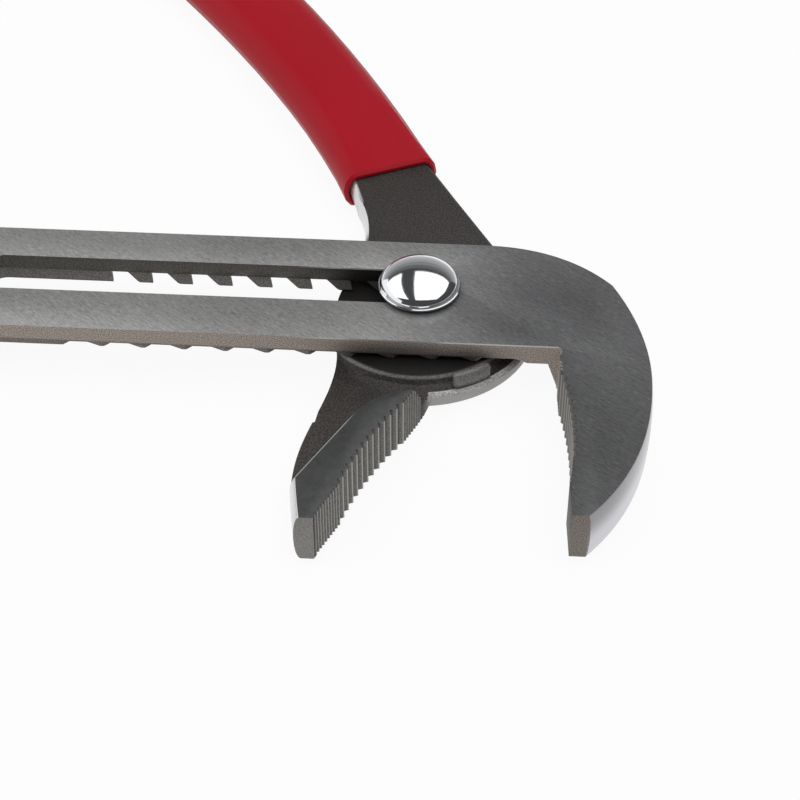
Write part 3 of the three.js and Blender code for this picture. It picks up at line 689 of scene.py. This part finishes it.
def sheet(name, size, place):
    """Flat sheet with an empty material; gives the object, its node tree and the output socket."""
    half_x, half_y = size[0] / 2, size[1] / 2
    corners = [(-half_x, -half_y, 0), (half_x, -half_y, 0), (half_x, half_y, 0), (-half_x, half_y, 0)]
    mesh = bpy.data.meshes.new(name)
    mesh.from_pydata(corners, [], [(0, 1, 2, 3)])
    obj = bpy.data.objects.new(name, mesh)
    obj.location = place
    bpy.context.collection.objects.link(obj)
    material = bpy.data.materials.new(name)
    material.use_nodes = True
    mesh.materials.append(material)
    tree = material.node_tree
    tree.nodes.clear()
    out = tree.nodes.new("ShaderNodeOutputMaterial")
    return obj, tree, out.inputs[0]


def floor():
    """Pale floor, white to the camera and in reflections, that keeps a faint shadow."""
    obj, tree, surface = sheet("floor", (2 * FLOOR_REACH, 2 * FLOOR_REACH), (0, 0, FLOOR_LEVEL))
    diffuse = tree.nodes.new("ShaderNodeBsdfDiffuse")
    diffuse.inputs["Color"].default_value = (FLOOR_TONE, FLOOR_TONE, FLOOR_TONE, 1)
    glow = tree.nodes.new("ShaderNodeEmission")
    glow.inputs["Strength"].default_value = 1.0
    part = tree.nodes.new("ShaderNodeMath")
    part.operation = "MULTIPLY"
    part.inputs[1].default_value = FLOOR_WHITE
    tree.links.new(seen_ray(tree), part.inputs[0])
    mix = tree.nodes.new("ShaderNodeMixShader")
    tree.links.new(part.outputs[0], mix.inputs[0])
    tree.links.new(diffuse.outputs[0], mix.inputs[1])
    tree.links.new(glow.outputs[0], mix.inputs[2])
    tree.links.new(mix.outputs[0], surface)


def world():
    """White behind the object, also in its reflections, and soft light on it."""
    sky = bpy.data.worlds.new("studio")
    bpy.context.scene.world = sky
    sky.use_nodes = True
    tree = sky.node_tree
    tree.nodes.clear()
    out = tree.nodes.new("ShaderNodeOutputWorld")
    mix = tree.nodes.new("ShaderNodeMixShader")
    tree.links.new(seen_ray(tree), mix.inputs[0])
    for socket, strength in ((1, SOFT_LIGHT), (2, 1.0)):
        layer = tree.nodes.new("ShaderNodeBackground")
        layer.inputs["Color"].default_value = (1, 1, 1, 1)
        layer.inputs["Strength"].default_value = strength
        tree.links.new(layer.outputs[0], mix.inputs[socket])
    tree.links.new(mix.outputs[0], out.inputs[0])


def window(name, place):
    """Soft box over the tool, pointing down as an area lamp does unturned."""
    light = bpy.data.lights.new(name, "AREA")
    light.shape = "RECTANGLE"
    light.size, light.size_y = WINDOW_SIZE
    light.energy = WINDOW_POWER
    obj = bpy.data.objects.new(name, light)
    obj.location = place
    bpy.context.collection.objects.link(obj)


def card(name, place, aim, size, grey):
    """Studio card of one grey, seen only in reflections."""
    obj, tree, surface = sheet(name, size, place)
    obj.rotation_euler = (Vector(aim) - Vector(place)).to_track_quat("Z", "Y").to_euler()
    obj.visible_camera = False
    obj.visible_diffuse = False
    obj.visible_shadow = False
    glow = tree.nodes.new("ShaderNodeEmission")
    glow.inputs["Color"].default_value = (grey, grey, grey, 1)
    tree.links.new(glow.outputs[0], surface)


def studio():
    """Floor, world, two windows, a backdrop that darkens upwards, and dim cards round the camera."""
    floor()
    world()
    window("window_left", WINDOW_LEFT)
    window("window_right", WINDOW_RIGHT)
    for number, grey in enumerate(BACKDROP_GREYS):
        middle = (number + 0.5) * BACKDROP_SIZE[1]
        card("backdrop_%d" % number, (0, BACKDROP_Y, middle), (0, 0, middle), BACKDROP_SIZE, grey)
    wall = (2 * ROOM_HALF, ROOM_HIGH)
    centre = (0, 0, ROOM_HIGH / 2)
    card("ceiling", (0, 0, ROOM_HIGH), (0, 0, 0), (2 * ROOM_HALF, 2 * ROOM_HALF), ROOM_GREY)
    card("front", (0, -ROOM_HALF, ROOM_HIGH / 2), centre, wall, ROOM_GREY)
    card("right", (ROOM_HALF, 0, ROOM_HIGH / 2), centre, wall, ROOM_GREY)


def photo_camera():
    """The scene's camera, placed as the photograph was taken."""
    camera = bpy.data.cameras.new("camera")
    camera.lens = CAMERA_LENS
    camera.sensor_width = CAMERA_SENSOR
    camera.clip_start = CAMERA_NEAR
    view = bpy.data.objects.new("camera", camera)
    view.location = CAMERA_PLACE
    view.rotation_euler = Euler((CAMERA_TILT, 0.0, CAMERA_TURN))
    bpy.context.collection.objects.link(view)
    bpy.context.scene.camera = view


studio()
photo_camera()
bpy.context.scene.view_settings.view_transform = "Standard"
